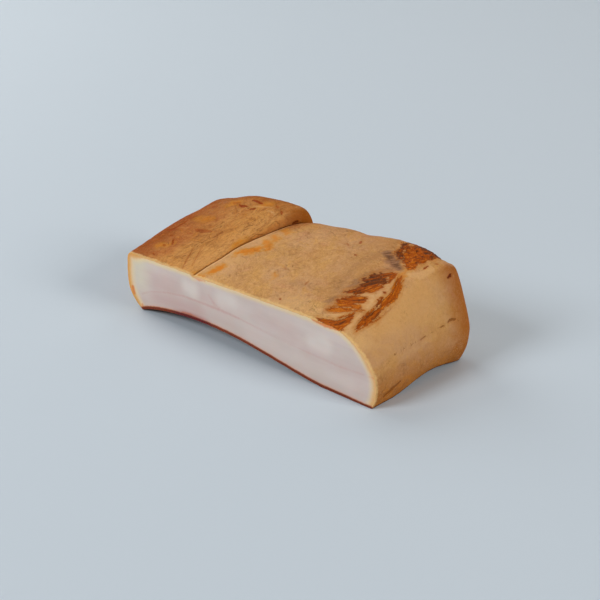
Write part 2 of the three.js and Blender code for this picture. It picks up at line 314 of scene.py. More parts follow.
def ripple(places, scale, seed):
    """Smooth unevenness from -1 to 1 at each place; scale is how many bumps fit in a millimetre, per axis."""
    offset = Vector((seed * 17.3, seed * 9.1, seed * 5.7))
    return np.array([noise.noise(Vector(p) + offset) for p in places * np.asarray(scale, float)])


def slab_cage():
    """The slab's own shape as a merged mesh of four-sided faces, with its cut, its rind and the fold marked."""
    cage = bmesh.new()
    cage.from_mesh(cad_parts["bacon_slab"].data)
    bmesh.ops.remove_doubles(cage, verts=cage.verts, dist=SAME_PLACE)
    bmesh.ops.join_triangles(
        cage, faces=cage.faces, angle_face_threshold=ANY_ANGLE, angle_shape_threshold=ANY_ANGLE)
    cage.normal_update()
    front = min(v.co.y for v in cage.verts)
    for face in cage.faces:
        face.material_index = CUT if all(v.co.y < front + CLOSE for v in face.verts) else SKIN
    lowest = min(cage.faces, key=lambda f: (f.calc_center_median() - Vector((0, 0, -1))).length)
    lowest.material_index = RIND
    growing = [lowest]
    while growing:
        face = growing.pop()
        for edge in face.edges:
            for other in edge.link_faces:
                if other.material_index == SKIN and edge.calc_face_angle(0) < RIND_BEND:
                    other.material_index = RIND
                    growing.append(other)
    crease = cage.edges.layers.float.new("crease_edge")
    for edge in cage.edges:
        kinds = {face.material_index for face in edge.link_faces}
        if CUT in kinds and len(kinds) > 1:
            edge[crease] = 1.0
        elif len(kinds) > 1:
            edge[crease] = 0.5
        middle = (edge.verts[0].co + edge.verts[1].co) / 2
        near_fold = middle.z > FOLD_ABOVE and abs(middle.x - FOLD_ALONG) < FOLD_REACH
        if near_fold and edge.calc_face_angle_signed(0) < FOLD_BEND:
            edge.seam = True
            edge[crease] = 0.8
    return cage


def rounded(cage):
    """The cage smoothed into a fine surface."""
    mesh = bpy.data.meshes.new("cage")
    cage.to_mesh(mesh)
    cage.free()
    holder = bpy.data.objects.new("cage", mesh)
    bpy.context.scene.collection.objects.link(holder)
    smoothing = holder.modifiers.new("smoothing", "SUBSURF")
    smoothing.levels = smoothing.render_levels = SMOOTHING_LEVELS
    shape = bpy.data.meshes.new_from_object(holder.evaluated_get(bpy.context.evaluated_depsgraph_get()))
    bpy.data.objects.remove(holder)
    fine = bmesh.new()
    fine.from_mesh(shape)
    return fine


def slab_surface():
    """The fine surface of the slab with its relief carved and its marks painted on as attributes."""
    slab = rounded(slab_cage())
    slab.normal_update()
    slab.verts.ensure_lookup_table()
    count = len(slab.verts)
    places = np.array([v.co for v in slab.verts]) / MM
    normals = np.array([v.normal for v in slab.verts])
    on_cut = np.array([any(f.material_index == CUT for f in v.link_faces) for v in slab.verts])
    on_skin = np.array([any(f.material_index == SKIN for f in v.link_faces) for v in slab.verts])
    on_rind = np.array([any(f.material_index == RIND for f in v.link_faces) for v in slab.verts])
    for i in np.flatnonzero(on_cut & (on_skin | on_rind)):
        outward = sum((f.normal for f in slab.verts[i].link_faces if f.material_index != CUT), Vector())
        outward.y = 0
        normals[i] = outward.normalized()
    x, y, z = places.T
    up, right = normals[:, 2], normals[:, 0]

    crease_points = sorted({v for e in slab.edges if e.seam for v in e.verts}, key=lambda v: v.co.y)
    crease_line = np.array([v.co for v in crease_points]) / MM
    tree = kdtree.KDTree(len(crease_points))
    for i, v in enumerate(crease_points):
        tree.insert(v.co, i)
    tree.balance()
    from_crease = np.array([tree.find(v.co)[2] for v in slab.verts]) / MM
    fold_x = np.interp(y, crease_line[:, 1], crease_line[:, 0])
    past_fold = x - fold_x
    top = steps(up, 0.2, 0.5) * (z > 25)
    beside = steps(from_crease, 9, 4)
    hump = (steps(-past_fold, -0.5, 0.5) * beside + steps(-past_fold, -12, 12) * (1 - beside)) * on_skin
    back_share = steps(y, -44, 10)
    end = steps(right, 0.35, 0.7)
    upper = on_skin & (z > 30) & (up > 0.1)

    lean, tone, weights = np.full(count, -12.0), np.zeros(count), np.full(count, 1e-9)
    along, across = np.zeros(count), np.zeros(count)
    for fibre_line, strokes in LEAN_STREAKS:
        run, side = follow(x, y, fibre_line)
        for stroke, shade in strokes:
            depth = inside(x, y, stroke)
            weight = np.exp(np.clip(1.5 * depth, -15, 9))
            tone += shade * weight
            weights += weight
            nearer = depth > lean
            lean = np.where(nearer, depth, lean)
            along = np.where(nearer, run, along)
            across = np.where(nearer, side, across)
    tone /= weights
    lean = np.where(on_skin & (z > 30), lean - 0.42 * np.clip(58 - z, 0, 40) * steps(y, 36, 43) * (x < 90), -12)
    crumbly = steps(y, 8, 13) * steps(lean, -6, -3)
    smudge, smudge_share = outlined(x, y, SMUDGES, upper)
    pale, pale_share = outlined(x, y, PALE_STROKES, upper)
    stain, stain_share = outlined(x, y, STAINS, upper)
    mark, mark_side, mark_reach, mark_share = sided(x, y, MARKS, upper)
    on_end = sided(y, z, END_MARKS, on_skin & (right > 0.35))
    mark, mark_side, mark_reach, mark_share = (
        np.where(on_end[0] > mark, b, a) for a, b in zip((mark, mark_side, mark_reach, mark_share), on_end))
    seam = np.where(on_skin & (right > 0.3), z - np.interp(y, *SEAM_LINE), 9.0)

    h = sum(height * ripple(places, scale, seed) for height, scale, seed in SWELLS) * on_skin * (1 - 0.5 * end)
    bent = 5.0 * ripple(places, 0.035, 21)
    fan = np.stack([past_fold + bent, y + bent, z], 1)
    wrinkle = 1 - steps(np.abs(ripple(fan, (0.13, 0.040, 0.03), 4)), 0, 0.14)
    fine = 1 - steps(np.abs(ripple(fan, (0.30, 0.085, 0.05), 5)), 0, 0.2)
    wrinkle_share = hump * top * steps(-past_fold, 1, 4) * steps(ripple(places, 0.05, 22), -0.25, 0.25)
    h -= wrinkle_share * (WRINKLE_DEPTH * wrinkle + FINE_WRINKLE_DEPTH * fine)
    flakes = 1 - steps(np.abs(ripple(places, (0.10, 0.12, 0.1), 23)), 0, 0.10)
    flake_share = (1 - hump) * top * steps(ripple(places, 0.04, 24), 0, 0.3)
    h -= flake_share * FLAKE_DEPTH * flakes
    sunk = steps(lean, -0.5, 1.0)
    fibre = ripple(np.stack([across, along, z * 0], 1), (0.75, 0.12, 0.1), 6)
    crumb = ripple(places, 0.5, 7)
    h += sunk * (-LEAN_DEPTH + np.where(y > 9, CRUMB_HEIGHT * crumb, FIBRE_HEIGHT * fibre))
    h += LEAN_RIM_HEIGHT * np.exp(-((lean + 1.2) / 0.8) ** 2) * (lean > -6)
    h -= MARK_DEPTH * steps(mark, -0.6, 0.3) * mark_share
    h += PALE_HEIGHT * steps(pale, -0.8, 0.5) * pale_share
    main_side = steps(past_fold, -0.3, 0.3) * steps(up, 0.3, 0.6)
    h -= (GROOVE_DEPTH + GROOVE_DEEPER_BEHIND * back_share) * np.exp(-(from_crease / 0.7) ** 2) * on_skin
    h += LIP_HEIGHT * np.exp(-((from_crease - 2.2) / 1.1) ** 2) * main_side * on_skin
    h += BULGE_HEIGHT * back_share * np.exp(-((from_crease - 3.0) / 1.6) ** 2) * (1 - main_side) * on_skin
    rim = on_cut & (on_skin | on_rind)
    frayed = np.interp(x, *FRAYED_RIM) * (z > 30)
    rim_h = 0.18 * ripple(places, 0.22, 8) + (0.10 + 0.15 * frayed) * ripple(places, 0.7, 9) - 0.12
    h = np.where(rim, rim_h - 0.4 * np.exp(-(from_crease / 1.2) ** 2), h)
    below = on_rind & ~on_skin & ~on_cut
    h = np.where(below, -0.12 + 0.12 * ripple(places, 0.09, 10) + 0.05 * ripple(places, 0.3, 11), h)
    inner = on_cut & ~rim
    h = np.where(inner, np.minimum(0, -0.1 + 0.1 * ripple(places, (0.03, 0.03, 0.08), 12)), h)
    moved = (places + normals * h[:, None]) * MM
    low, high = np.array(cad_box[0]), np.array(cad_box[1])
    moved = np.clip(moved, low + CLOSE, high - CLOSE)
    moved[:, 2] = np.maximum(moved[:, 2], 0)
    for v, place in zip(slab.verts, moved):
        v.co = place
    for edge in slab.edges:
        kinds = {face.material_index for face in edge.link_faces}
        edge.smooth = not (CUT in kinds and len(kinds) > 1)
        edge.seam = False
    for face in slab.faces:
        face.smooth = True
    slab.normal_update()

    def gap_to(kind):
        """How far each place is from the faces of one kind, in mm."""
        faces = [[v.index for v in f.verts] for f in slab.faces if f.material_index == kind]
        surface = BVHTree.FromPolygons([v.co for v in slab.verts], faces)
        return np.array([surface.find_nearest(v.co)[3] for v in slab.verts]) / MM

    painted_on = {
        "to_skin": gap_to(SKIN), "to_cut": gap_to(CUT), "to_rind": gap_to(RIND),
        "lean": lean, "lean_tone": tone, "crumbly": crumbly, "fibre_along": along, "fibre_across": across,
        "smudge": smudge, "smudge_share": smudge_share, "pale": pale, "pale_share": pale_share,
        "stain": stain, "stain_share": stain_share, "seam": seam,
        "mark_side": mark_side, "mark_reach": mark_reach, "mark_share": mark_share,
        "hump": hump, "past_fold": np.clip(past_fold, -60, 60), "from_crease": from_crease, "end": end,
        "wrinkle": np.maximum(wrinkle, 0.6 * fine) * wrinkle_share, "flake": flakes * flake_share,
        "milk": painted(x, z, MILK_PATCHES, 5) * on_cut, "blush": painted(x, z, BLUSH_PATCHES, 10) * on_cut,
        "strata": painted(x, z, STRATA, 1.4) * on_cut, "yellow": painted(x, z, YELLOW_PATCHES, 12) * on_cut,
        "rust": painted(x, z, RUST_PATCHES, 1.5) * on_cut,
    }
    shape = bpy.data.meshes.new("smoked_slab")
    slab.to_mesh(shape)
    slab.free()
    for name, values in painted_on.items():
        shape.attributes.new(name, "FLOAT", "POINT").data.foreach_set("value", np.asarray(values, np.float32))
    return shape


class Wire:
    """One output of a shader node. Arithmetic on it adds Math nodes to the same material."""

    def __init__(self, shader, socket):
        self.shader = shader
        self.socket = socket

    def math(self, operation, *values):
        return self.shader.add("ShaderNodeMath", {"operation": operation}, dict(enumerate(values)))

    def __add__(self, other):
        return self.math("ADD", self, other)

    def __sub__(self, other):
        return self.math("SUBTRACT", self, other)

    def __rsub__(self, other):
        return self.math("SUBTRACT", other, self)

    def __mul__(self, other):
        return self.math("MULTIPLY", self, other)

    def __truediv__(self, other):
        return self.math("DIVIDE", self, other)

    def __rtruediv__(self, other):
        return self.math("DIVIDE", other, self)

    def __neg__(self):
        return self.math("MULTIPLY", self, -1)

    def __abs__(self):
        return self.math("ABSOLUTE", self)

    __radd__ = __add__
    __rmul__ = __mul__


class Shader:
    """A material being wired. Every node comes from add()."""

    def __init__(self, name):
        self.material = bpy.data.materials.new(name)
        self.material.use_nodes = True
        self.tree = self.material.node_tree
        self.tree.nodes.clear()
        places = self.add("ShaderNodeTexCoord", output="Object")
        self.mm = self.add("ShaderNodeVectorMath", {"operation": "SCALE"}, {0: places, "Scale": 1 / MM})

    def add(self, kind, settings=None, inputs=None, output=0):
        """A node of a kind, with its settings and the values or wires of its sockets; gives one of its outputs."""
        node = self.tree.nodes.new(kind)
        for name, value in (settings or {}).items():
            setattr(node, name, value)
        for key, value in (inputs or {}).items():
            if isinstance(value, Wire):
                self.tree.links.new(value.socket, node.inputs[key])
            else:
                node.inputs[key].default_value = value
        return Wire(self, node.outputs[output]) if node.outputs else None

    def painted(self, name):
        """An attribute painted on the mesh."""
        return self.add("ShaderNodeAttribute", {"attribute_name": name}, output="Fac")

    def axis(self, vector, which):
        """One of a vector's three numbers."""
        return self.add("ShaderNodeSeparateXYZ", None, {0: vector}, output=which)

    def vector(self, x, y, z):
        """A vector from three numbers or wires."""
        return self.add("ShaderNodeCombineXYZ", None, {0: x, 1: y, 2: z})

    def stretched(self, vector, x, y, z):
        """A place scaled along each axis, so that a pattern on it is drawn out."""
        return self.add("ShaderNodeVectorMath", {"operation": "MULTIPLY"}, {0: vector, 1: (x, y, z)})

    def noise(self, vector, scale, detail=2.0, roughness=0.5, distortion=0.0):
        """Cloudy values around one half; scale is bumps in a millimetre."""
        return self.add("ShaderNodeTexNoise", None, {
            "Vector": vector, "Scale": scale, "Detail": detail, "Roughness": roughness, "Distortion": distortion})

    def rise(self, value, low, high):
        """0 at low, 1 at high, smooth between."""
        return self.add("ShaderNodeMapRange", {"interpolation_type": "SMOOTHSTEP"}, {
            "Value": value, "From Min": low, "From Max": high})

    def mix(self, share, first, second):
        """The first colour where the share is 0, the second where it is 1."""
        return self.add("ShaderNodeMix", {"data_type": "RGBA"}, {0: share, 6: first, 7: second}, output=2)

    def lines(self, vector, width, detail=2.0):
        """Thin wandering lines, 1 on the line."""
        return 1 - self.rise(abs(self.noise(vector, 1.0, detail) - 0.5), 0.0, width)

    def specks(self, vector, spacing, size, share):
        """Scattered round specks: the mean spacing and the size in mm, and the share of places that have one."""
        cell = self.add("ShaderNodeTexVoronoi", {"feature": "F1"}, {"Vector": vector, "Scale": 1 / spacing})
        which = self.add("ShaderNodeTexVoronoi", {"feature": "F1"}, {"Vector": vector, "Scale": 1 / spacing}, "Color")
        chosen = self.rise(self.axis(which, "X"), 1 - share, 1 - share + 0.02)
        return self.rise(cell, size / spacing, size / spacing * 0.45) * chosen

    def finish(self, colour, roughness, bump_height, bump_mm, **constants):
        """Ends the material in a surface with that colour, roughness and relief, and gives it."""
        normal = self.add("ShaderNodeBump", None, {"Strength": 1.0, "Distance": bump_mm * MM, "Height": bump_height})
        surface = self.add("ShaderNodeBsdfPrincipled", None, {
            "Base Color": colour, "Roughness": roughness, "Normal": normal, **constants})
        self.add("ShaderNodeOutputMaterial", None, {"Surface": surface})
        return self.material


def paint(red, green, blue, level=0.80):
    """A colour given as it looks under the studio's light, as a surface colour. The level is how bright it is there."""
    def linear(value):
        value /= 255
        return value / 12.92 if value <= 0.04045 else ((value + 0.055) / 1.055) ** 2.4
    return tuple(min(1.0, linear(c) / level) for c in (red, green, blue)) + (1,)


def smoked_skin():
    """Golden tan smoked fat: mottled, wrinkled on the swelling, with lean streaks, stains and dark marks."""
    s = Shader("smoked_skin")
    mm = s.mm
    x, y, z = s.axis(mm, "X"), s.axis(mm, "Y"), s.axis(mm, "Z")
    hump, crease, past_fold, end = (s.painted(n) for n in ("hump", "from_crease", "past_fold", "end"))
    cloud = s.noise(mm, 0.038, 3.0)
    blush = s.noise(s.stretched(mm, 1.0, 1.3, 1.0), 0.055, 3.0, 0.6, 0.4)
    patch = s.noise(mm, 0.13, 4.0, 0.6, 0.6)
    blotch = s.noise(mm, 0.34, 3.0, 0.6, 0.4)
    fine = s.noise(mm, 0.95, 4.0, 0.65)
    calm = 1 - end * 0.6 * s.rise(z, 12, 30)

    # mottled tan fat all over
    colour = s.mix(s.rise(cloud, 0.40, 0.60), paint(190, 144, 98), paint(191, 142, 84))
    colour = s.mix(s.rise(blush, 0.54, 0.68) * 0.55, colour, paint(190, 134, 96))
    colour = s.mix(s.rise(patch, 0.50, 0.68) * 0.60 * calm, colour, paint(203, 152, 84))
    colour = s.mix(s.rise(patch, 0.48, 0.32) * 0.45 * calm, colour, paint(176, 124, 78))
    colour = s.mix(s.rise(blotch, 0.52, 0.68) * 0.44 * calm, colour, paint(166, 114, 66))
    colour = s.mix(s.rise(blotch, 0.47, 0.32) * 0.42 * calm, colour, paint(210, 162, 108))

    # the swelling left of the fold: golden, redder to the left, streaked along the fold and along the slab
    golden = s.mix(s.rise(cloud + (patch - 0.5) * 0.5, 0.40, 0.62), paint(197, 138, 70), paint(188, 125, 60))
    colour = s.mix(hump * 0.95, colour, golden)
    leftward = s.rise(-past_fold + (patch - 0.5) * 26 + (cloud - 0.5) * 30, 16, 46) * hump
    colour = s.mix(leftward * 0.75, colour, paint(172, 100, 44))
    ruddy = s.rise(blush + (patch - 0.5) * 0.5, 0.50, 0.72) * hump * (0.25 + leftward * 0.75)
    colour = s.mix(ruddy * 0.8, colour, paint(160, 80, 34))
    olive = s.rise(patch, 0.56, 0.70) * hump
    colour = s.mix(olive * 0.5, colour, paint(200, 134, 44))
    far_left = s.rise(-x + (patch - 0.5) * 18, 82, 101) * hump
    colour = s.mix(far_left * 0.85, colour, paint(146, 60, 12))
    wander = s.noise(mm, 0.05, 2.0) - 0.5
    turn = s.noise(mm, 0.09, 2.0) - 0.5
    beside_fold = s.vector(past_fold * 0.34 + wander * 3.0, y * 0.085 + turn * 1.6, z * 0.1)
    lengthwise = s.vector(x * 0.10 + wander * 2.0, y * 0.34 + turn * 2.0, z * 0.34)
    beside_fold, lengthwise = (s.noise(v, 1.0, 4.0, 0.65, 0.3) for v in (beside_fold, lengthwise))
    streaks = beside_fold * (1 - leftward) + lengthwise * leftward
    colour = s.mix(s.rise(streaks, 0.50, 0.66) * hump * 0.62, colour, paint(148, 80, 30))
    colour = s.mix(s.rise(streaks, 0.47, 0.34) * hump * (0.50 - leftward * 0.32), colour, paint(210, 148, 78))
    colour = s.mix(s.rise(blotch, 0.54, 0.70) * hump * 0.40, colour, paint(144, 78, 32))
    frontward = s.rise(-y + (patch - 0.5) * 16, 6, 38) * hump * (1 - leftward * 0.9)
    colour = s.mix(frontward * 0.5, colour, paint(208, 150, 84))
    behind = s.rise(y + (patch - 0.5) * 12, 16, 36)
    colour = s.mix(behind * (0.20 + hump * 0.52), colour, paint(148, 76, 18))
    # painted shade: a darker band along the back top edge, where the skin turns away at the far silhouette
    edge = s.rise(y + (patch - 0.5) * 3, 39.5, 43)
    colour = s.mix(edge * 0.5, colour, paint(132, 82, 50))

    # lighter and darker ground beside the fold, along the edges, down the walls and round the end
    by_fold = s.rise(past_fold + (patch - 0.5) * 12, 30, 8) * s.rise(past_fold, -0.5, 0.8) * s.rise(y, 20, 0)
    colour = s.mix(by_fold * 0.45, colour, paint(208, 162, 112))
    by_fold = s.rise(past_fold + (patch - 0.5) * 8, -22, -5) * s.rise(y, 22, 4) * hump
    colour = s.mix(by_fold * 0.36, colour, paint(214, 160, 96))
    duller = s.rise(x + (patch - 0.5) * 24, 26, 48) * s.rise(x, 74, 60) * s.rise(-y, 36, 26)
    colour = s.mix(duller * 0.40, colour, paint(170, 120, 74))

    bay = s.rise(y + past_fold * 0.25 + (patch - 0.5) * 14, 12, 24) * s.rise(17 - past_fold + (patch - 0.5) * 10, 0, 9)
    bay = bay * s.rise(past_fold, -0.5, 0.8)
    colour = s.mix(bay * (0.45 + s.rise(blotch, 0.42, 0.60) * 0.4), colour, paint(160, 92, 46))
    low = s.rise(-z + (patch - 0.5) * 14, -28, -8)
    colour = s.mix(low * 0.75, colour, paint(158, 94, 16))
    lowest = s.rise(-z + (patch - 0.5) * 7, -13, -5)
    colour = s.mix(lowest * 0.75, colour, paint(150, 86, 4))
    shoulder = s.rise(x + (patch - 0.5) * 10, 74, 88) * s.rise(z + (patch - 0.5) * 8, 32, 44) * s.rise(y, 26, 6)
    colour = s.mix(shoulder * 0.55, colour, paint(208, 159, 100))
    shelf = s.rise(-y + (patch - 0.5) * 6, 30, 42) * s.rise(x, 0, 45) * s.rise(z, 32, 38)
    colour = s.mix(shelf * 0.45, colour, paint(214, 172, 112))
    amber = s.rise(patch + (blotch - 0.5) * 0.6, 0.46, 0.60) * s.rise(-z + (patch - 0.5) * 10, -20, -6)
    colour = s.mix(amber * 0.55, colour, paint(190, 122, 42))
    foot = s.rise(-z + y * 0.10 + (fine - 0.5) * 2.0, -3.4, -0.6) * s.rise(y, -10, 20)
    colour = s.mix(foot * 0.85, colour, paint(78, 34, 10))
    seam = s.rise(z - y * 0.16 + (patch - 0.5) * 5, 28.5, 25.5) * end
    colour = s.mix(seam * 0.28, colour, paint(160, 104, 60))
    back_end = s.rise(y + (patch - 0.5) * 14, 18, 38) * end
    colour = s.mix(back_end * 0.90, colour, paint(154, 86, 16))

    # grain, dots, hairs, pale threads and glints
    light_grain = s.mix(hump, paint(218, 170, 112), paint(202, 140, 74))
    colour = s.mix(s.rise(fine, 0.50, 0.70) * (0.24 + hump * 0.14) * calm, colour, light_grain)
    colour = s.mix(s.rise(fine, 0.50, 0.32) * (0.23 + hump * 0.13) * calm, colour, paint(148, 95, 48))
    dots = s.specks(mm, 5.5, 0.5, 0.35)
    colour = s.mix(dots * 0.24 * calm, colour, paint(132, 82, 42))
    hairs = s.lines(s.vector(x * 0.34 + patch * 3.0, y * 0.34 - patch * 2.0, z * 0.34), 0.035, 4.0)
    hairs = hairs * s.rise(cloud + (blotch - 0.5) * 0.3, 0.46, 0.60) * (1 - hump) * calm
    colour = s.mix(hairs * 0.32, colour, paint(150, 100, 52))
    threads_pale = s.lines(s.vector(x * 0.30 - patch * 2.4, y * 0.36 + patch * 2.4, z * 0.3 + 9.0), 0.03, 4.0)
    threads_pale = threads_pale * s.rise(blush + (blotch - 0.5) * 0.4, 0.48, 0.60) * calm * (1 - hump * 0.7)
    colour = s.mix(threads_pale * 0.26, colour, paint(218, 174, 122))
    glints = s.specks(mm, 7.0, 0.6, 0.3)
    colour = s.mix(glints * (0.35 - hump * 0.22) * calm, colour, paint(226, 186, 136))

    # thin creases on the swelling, and short curled cracks on the rest, carved into the bump; their darker colour, and
    # that of the mesh's wrinkles and flakes, is painted shade
    along_fold = s.vector(past_fold * 0.30 + wander * 3.0, y * 0.085 + turn * 1.6, z * 0.10)
    veiled = s.rise(s.noise(mm, 0.07, 2.0), 0.44, 0.58)
    creases = s.lines(along_fold, 0.022, 3.0) * hump * veiled * (1 - leftward * 0.6) * (1 - behind * 0.6)
    second = s.lines(s.vector(past_fold * 0.55 + turn * 3.0, y * 0.16 + wander * 2.0, z * 0.2), 0.03) * hump
    curls = s.lines(s.vector(x * 0.20 + turn * 1.2, y * 0.28 + wander * 1.2, z * 0.22), 0.012, 3.0)
    curls = curls * s.rise(s.noise(mm, 0.06, 2.0), 0.50, 0.62) * (1 - hump) * calm
    colour = s.mix(s.painted("wrinkle") * 0.30, colour, paint(150, 90, 42))
    colour = s.mix(creases * 0.55, colour, paint(134, 72, 24))
    colour = s.mix(second * 0.30, colour, paint(146, 84, 32))
    colour = s.mix(curls * 0.40, colour, paint(146, 94, 48))
    colour = s.mix(s.painted("flake") * 0.25, colour, paint(156, 106, 62))

    # what the mesh has painted on: stains, pale fat, smudges, gouges and the seam on the end
    soak = s.painted("stain") + (patch - 0.5) * 9.0 + (blotch - 0.5) * 5.0
    depth = s.painted("stain_share")
    colour = s.mix(s.rise(soak, -2.4, 1.6) * (0.30 + depth * 0.50), colour, paint(198, 132, 44))
    colour = s.mix(s.rise(soak, 0.0, 3.0) * depth * 0.88, colour, paint(202, 116, 24))
    pallor = s.rise(s.painted("pale") + (blotch - 0.5) * 2.0 + (fine - 0.5) * 1.0, -0.7, 0.5)
    colour = s.mix(pallor * s.painted("pale_share") * 0.62, colour, paint(216, 170, 116))
    strands = s.vector(s.painted("fibre_across") * 0.72 + wander, s.painted("fibre_along") * 0.075, 0.0)
    threads = s.noise(strands, 1.0, 5.0, 0.60, 0.25)
    crumbs = s.noise(mm, 0.42, 4.0, 0.65, 0.6)
    crumbly = s.painted("crumbly")
    grain = threads * (1 - crumbly) + crumbs * crumbly
    slanting = s.vector((x * 0.76 + y * 0.65) * 0.12 + wander, (y * 0.76 - x * 0.65) * 0.55, 0.0)
    wisps = s.noise(slanting, 1.0, 4.0, 0.6, 0.5)
    veil = s.painted("smudge") + (patch - 0.5) * 4.0 + (wisps - 0.5) * 11.0 + (fine - 0.5) * 1.6
    veil = s.rise(veil, -2.2, 1.8) * s.painted("smudge_share")
    dusky = s.mix(s.rise(wisps + (fine - 0.5) * 0.3, 0.40, 0.62), paint(92, 58, 40), paint(150, 108, 78))
    colour = s.mix(veil * 0.90, colour, dusky)
    wiggle = (blotch - 0.5) * 1.6
    mark = s.painted("mark_reach") - abs(s.painted("mark_side") + wiggle) + (fine - 0.5) * 1.2
    share = s.painted("mark_share")
    gouge = s.rise(mark, -0.35, 0.25) * s.rise(share, 0.0, 0.9)
    colour = s.mix(s.rise(mark, -1.7, 0.2) * share * 0.40, colour, paint(172, 92, 28))
    burnt = s.mix(s.rise(share, 0.86, 0.98), paint(144, 54, 4), paint(96, 34, 8))
    colour = s.mix(gouge * 0.9, colour, s.mix(end * s.rise(share, 0.98, 0.86), burnt, paint(118, 66, 14)))
    broken = s.rise(s.noise(s.vector(0.0, y * 0.30, 3.0), 1.0, 4.0, 0.7), 0.48, 0.60)
    thin = s.rise(abs(s.painted("seam") + (blotch - 0.5) * 5.0 + (fine - 0.5) * 1.6), 0.50, 0.10) * broken
    colour = s.mix(thin * 0.7, colour, paint(126, 78, 34))

    # the fold's pale lip, painted shade on the swelling's side beside the fold, and painted shade in the fold's groove,
    # darkest towards the back where the swelling overhangs it
    lip = s.rise(abs(crease - 1.9) + (patch - 0.5) * 1.6 + (fine - 0.5) * 0.8, 1.4, 0.4) * s.rise(past_fold, 0.1, 0.8)
    colour = s.mix(lip * s.rise(y, 40, 20) * 0.66, colour, paint(224, 176, 120))
    shaded = s.rise(crease + (patch - 0.5) * 3, 7.0, 1.0) * s.rise(y, -30, 10) * hump
    colour = s.mix(shaded * 0.35, colour, paint(160, 98, 34))
    # painted shadow in the fold's groove, widening and darkening towards the back where the swelling overhangs it
    under = s.rise(y, 8, 36)
    shaded_groove = s.rise(crease + (fine - 0.5) * 0.5 - under * 0.9, 0.75, 0.25)
    colour = s.mix(shaded_groove * (0.62 + under * 0.3), colour, s.mix(under, paint(126, 74, 28), paint(96, 32, 6)))

    # the lean, ragged along its fibres
    lean = s.painted("lean")
    ragged = lean + (grain - 0.5) * 7.5 + (blotch - 0.5) * 3.0 + (fine - 0.5) * 2.6
    fringe = s.rise(ragged, -3.2, -0.4)
    colour = s.mix(fringe * 0.50, colour, paint(184, 116, 48))
    ripe = s.painted("lean_tone") + (grain - 0.5) * 3.6 + (blotch - 0.5) * 1.0 + (fine - 0.5) * 1.2
    flesh = s.mix(s.rise(ripe, -0.35, 0.20), paint(78, 42, 26), paint(114, 54, 12))
    flesh = s.mix(s.rise(ripe, 0.14, 0.50), flesh, paint(164, 74, 2))
    flesh = s.mix(s.rise(ripe, 0.60, 1.15), flesh, paint(198, 112, 24))
    outline = s.rise(ragged, 1.0, 0.1) * 0.40
    flesh = s.mix(outline, flesh, paint(112, 42, 4))
    flesh = s.mix(veil * 0.6, flesh, paint(100, 64, 48))
    meat = s.rise(ragged, -0.45, 0.45)
    colour = s.mix(meat * 0.96, colour, flesh)

    # a pale rim beside the cut, partly pale fat and partly a painted highlight along the cut's top edge, and a dark one
    # beside the rind
    rim = s.rise(s.painted("to_cut") + (fine - 0.5) * 2.4 + (blotch - 0.5) * 2.6, 2.1, 0.3)
    colour = s.mix(rim * (1 - meat) * 0.72, colour, paint(226, 188, 126))
    rind_gap = s.painted("to_rind") + (patch - 0.5) * 1.6
    colour = s.mix(s.rise(rind_gap, 4.2, 1.2) * 0.55, colour, paint(170, 104, 30))
    colour = s.mix(s.rise(rind_gap, 1.3, 0.5) * 0.85, colour, paint(84, 40, 18))

    height = fine * 0.40 + patch * 0.5 + blotch * 0.35 - creases * 0.6 - second * 0.3 - curls * 0.4
    height = height - gouge * 0.8 - shaded_groove * 0.7 - dots * 0.3 + glints * 0.3 + pallor * 0.2
    height = height + meat * (grain - 0.5) * 2.4 - outline * meat * 0.5
    rough = 0.54 + (patch - 0.5) * 0.25 - meat * 0.06 + (fine - 0.5) * 0.15
    return s.finish(colour, rough, height, 0.60, **{
        "Specular IOR Level": 0.06, "Subsurface Weight": 0.05, "Subsurface Radius": (1.0, 0.4, 0.15),
        "Subsurface Scale": 0.003})


